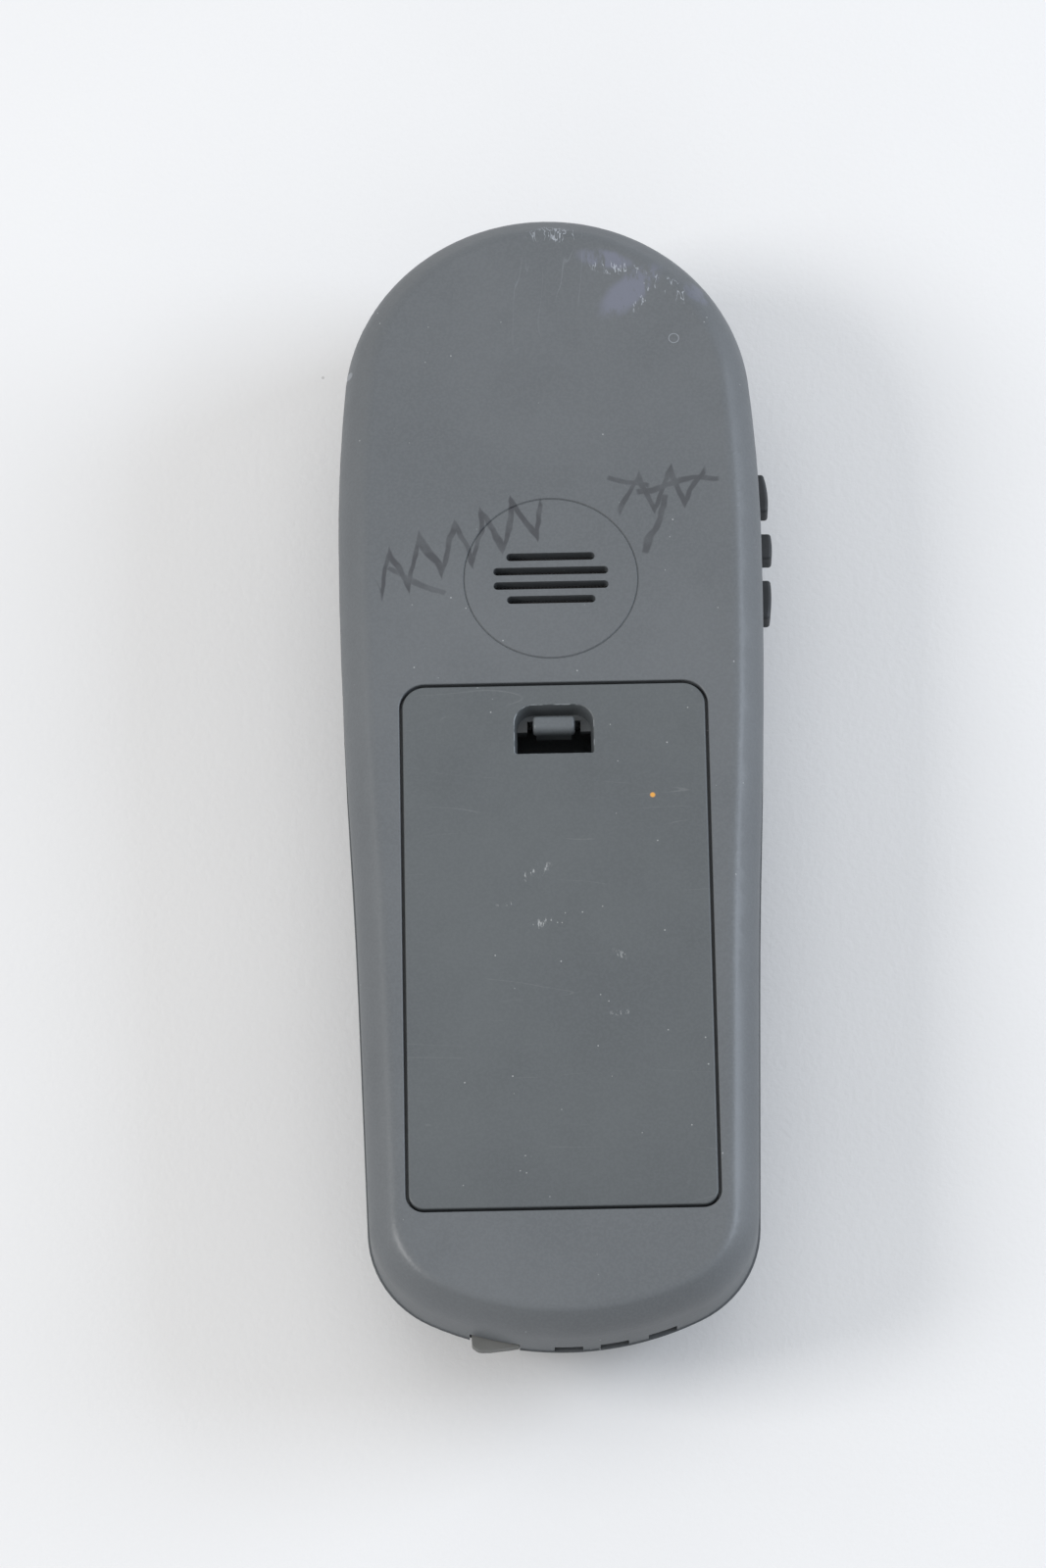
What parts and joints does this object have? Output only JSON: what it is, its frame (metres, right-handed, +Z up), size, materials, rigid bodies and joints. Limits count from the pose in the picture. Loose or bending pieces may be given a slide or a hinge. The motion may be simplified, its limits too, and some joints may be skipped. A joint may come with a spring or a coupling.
{
  "type": "cordless telephone handset",
  "caption": "Slim cordless telephone handset with a rounded earpiece end, a battery door with a finger latch, a slotted ringer and side keys.",
  "frame": {"origin": "on the table, under the middle of the handset's box, with the handset lying on its face", "axes": "+Z up out of the back, +Y towards the earpiece end, +X towards the side with the side keys"},
  "size_m": [0.0577, 0.1586, 0.027],
  "materials": {
    "rear_shell": "fine spark-eroded grain, dark grey",
    "front_shell": "fine grain, dark grey",
    "battery_door": "fine grain, slightly darker grey",
    "latch": "fine grain",
    "key_rubber": "moulded silicone",
    "board": "solder-masked laminate",
    "lens": "clear moulded window",
    "display": "grey-green display",
    "frame_plastic": "black moulded",
    "chip": "moulded epoxy",
    "tin": "tin-plated",
    "speaker": "black lacquer",
    "mesh_cloth": "acoustic cloth",
    "boot_rubber": "moulded",
    "light_pipe": "tinted clear",
    "contact_brass": "plated spring brass",
    "cover_rubber": "soft matt rubber",
    "cell": "nickel-plated can",
    "battery_wrap": "heat-shrunk sleeve",
    "foam": "foam",
    "screw_steel": "zinc-plated",
    "key_grey": "moulded with printed legends",
    "key_silver": "silver paint",
    "talk_green": "moulded with a printed sign",
    "end_red": "moulded with a printed sign",
    "side_key": "moulded, dark grey"
  },
  "bodies": {
    "handset": {"rear_shell": "rear_shell", "front_shell": "front_shell", "key_mat": "key_rubber", "side_key_pad": "key_rubber", "side_key_board": "board", "display_lens": "lens", "display_panel": "display", "display_frame": "frame_plastic", "main_board": "board", "board_chips": "chip", "radio_shield": "tin", "antenna": "tin", "ringer_speaker": "speaker", "ringer_mesh": "mesh_cloth", "earpiece_receiver": "speaker", "earpiece_mesh": "mesh_cloth", "microphone": "tin", "microphone_boot": "boot_rubber", "status_light": "light_pipe", "charge_contacts": "contact_brass", "headset_jack": "frame_plastic", "battery_cells": "cell", "battery_wrap": "battery_wrap", "battery_terminal": "frame_plastic", "bay_contact_block": "frame_plastic", "bay_contacts": "contact_brass", "case_screws": "screw_steel"},
    "battery_door": {"battery_door": "battery_door", "battery_foam": "foam"},
    "door_latch": {"door_latch": "latch"},
    "jack_cover": {"jack_cover": "cover_rubber"},
    "key_1": {"key_1": "key_grey"},
    "key_2": {"key_2": "key_grey"},
    "key_3": {"key_3": "key_grey"},
    "key_4": {"key_4": "key_grey"},
    "key_5": {"key_5": "key_grey"},
    "key_6": {"key_6": "key_grey"},
    "key_7": {"key_7": "key_grey"},
    "key_8": {"key_8": "key_grey"},
    "key_9": {"key_9": "key_grey"},
    "key_star": {"key_star": "key_grey"},
    "key_0": {"key_0": "key_grey"},
    "key_hash": {"key_hash": "key_grey"},
    "talk_key": {"talk_key": "talk_green"},
    "end_call_key": {"end_call_key": "end_red"},
    "left_soft_key": {"left_soft_key": "key_silver"},
    "right_soft_key": {"right_soft_key": "key_silver"},
    "scroll_key": {"scroll_key": "key_silver"},
    "side_key_upper": {"side_key_upper": "side_key"},
    "side_key_middle": {"side_key_middle": "side_key"},
    "side_key_lower": {"side_key_lower": "side_key"}
  },
  "joints": [
    {"name": "battery_door_swing", "type": "hinge", "parent": "handset", "child": "battery_door", "pos_m": [0, -0.0634, 0.027], "axis": [1, 0, 0], "range_deg": [0, 70]},
    {"name": "door_latch_slide", "type": "slide", "parent": "battery_door", "child": "door_latch", "axis": [0, -1, 0], "range_m": [0, 0.0018], "stiffness_N_per_m": 600, "springref_m": -0.001},
    {"name": "jack_cover_swing", "type": "hinge", "parent": "handset", "child": "jack_cover", "pos_m": [-0.00595, -0.07895, 0.0158], "axis": [0, 0, 1], "range_deg": [0, 100], "stiffness_Nm_per_rad": 0.0001},
    {"name": "key_1_press", "type": "slide", "parent": "handset", "child": "key_1", "axis": [0, 0, 1], "range_m": [0, 0.0006], "stiffness_N_per_m": 1500, "springref_m": -0.0004},
    {"name": "key_2_press", "type": "slide", "parent": "handset", "child": "key_2", "axis": [0, 0, 1], "range_m": [0, 0.0006], "stiffness_N_per_m": 1500, "springref_m": -0.0004},
    {"name": "key_3_press", "type": "slide", "parent": "handset", "child": "key_3", "axis": [0, 0, 1], "range_m": [0, 0.0006], "stiffness_N_per_m": 1500, "springref_m": -0.0004},
    {"name": "key_4_press", "type": "slide", "parent": "handset", "child": "key_4", "axis": [0, 0, 1], "range_m": [0, 0.0006], "stiffness_N_per_m": 1500, "springref_m": -0.0004},
    {"name": "key_5_press", "type": "slide", "parent": "handset", "child": "key_5", "axis": [0, 0, 1], "range_m": [0, 0.0006], "stiffness_N_per_m": 1500, "springref_m": -0.0004},
    {"name": "key_6_press", "type": "slide", "parent": "handset", "child": "key_6", "axis": [0, 0, 1], "range_m": [0, 0.0006], "stiffness_N_per_m": 1500, "springref_m": -0.0004},
    {"name": "key_7_press", "type": "slide", "parent": "handset", "child": "key_7", "axis": [0, 0, 1], "range_m": [0, 0.0006], "stiffness_N_per_m": 1500, "springref_m": -0.0004},
    {"name": "key_8_press", "type": "slide", "parent": "handset", "child": "key_8", "axis": [0, 0, 1], "range_m": [0, 0.0006], "stiffness_N_per_m": 1500, "springref_m": -0.0004},
    {"name": "key_9_press", "type": "slide", "parent": "handset", "child": "key_9", "axis": [0, 0, 1], "range_m": [0, 0.0006], "stiffness_N_per_m": 1500, "springref_m": -0.0004},
    {"name": "key_star_press", "type": "slide", "parent": "handset", "child": "key_star", "axis": [0, 0, 1], "range_m": [0, 0.0006], "stiffness_N_per_m": 1500, "springref_m": -0.0004},
    {"name": "key_0_press", "type": "slide", "parent": "handset", "child": "key_0", "axis": [0, 0, 1], "range_m": [0, 0.0006], "stiffness_N_per_m": 1500, "springref_m": -0.0004},
    {"name": "key_hash_press", "type": "slide", "parent": "handset", "child": "key_hash", "axis": [0, 0, 1], "range_m": [0, 0.0006], "stiffness_N_per_m": 1500, "springref_m": -0.0004},
    {"name": "talk_key_press", "type": "slide", "parent": "handset", "child": "talk_key", "axis": [0, 0, 1], "range_m": [0, 0.0006], "stiffness_N_per_m": 1500, "springref_m": -0.0004},
    {"name": "end_call_key_press", "type": "slide", "parent": "handset", "child": "end_call_key", "axis": [0, 0, 1], "range_m": [0, 0.0006], "stiffness_N_per_m": 1500, "springref_m": -0.0004},
    {"name": "left_soft_key_press", "type": "slide", "parent": "handset", "child": "left_soft_key", "axis": [0, 0, 1], "range_m": [0, 0.0006], "stiffness_N_per_m": 1500, "springref_m": -0.0004},
    {"name": "right_soft_key_press", "type": "slide", "parent": "handset", "child": "right_soft_key", "axis": [0, 0, 1], "range_m": [0, 0.0006], "stiffness_N_per_m": 1500, "springref_m": -0.0004},
    {"name": "scroll_key_rock", "type": "hinge", "parent": "handset", "child": "scroll_key", "pos_m": [0, 0.0113, 0.0035], "axis": [1, 0, 0], "range_deg": [-3.5, 3.5], "stiffness_Nm_per_rad": 0.03},
    {"name": "side_key_upper_press", "type": "slide", "parent": "handset", "child": "side_key_upper", "axis": [-1, 0, 0], "range_m": [0, 0.0005], "stiffness_N_per_m": 1800, "springref_m": -0.0004},
    {"name": "side_key_middle_press", "type": "slide", "parent": "handset", "child": "side_key_middle", "axis": [-1, 0, 0], "range_m": [0, 0.0005], "stiffness_N_per_m": 1800, "springref_m": -0.0004},
    {"name": "side_key_lower_press", "type": "slide", "parent": "handset", "child": "side_key_lower", "axis": [-1, 0, 0], "range_m": [0, 0.0005], "stiffness_N_per_m": 1800, "springref_m": -0.0004}
  ]
}
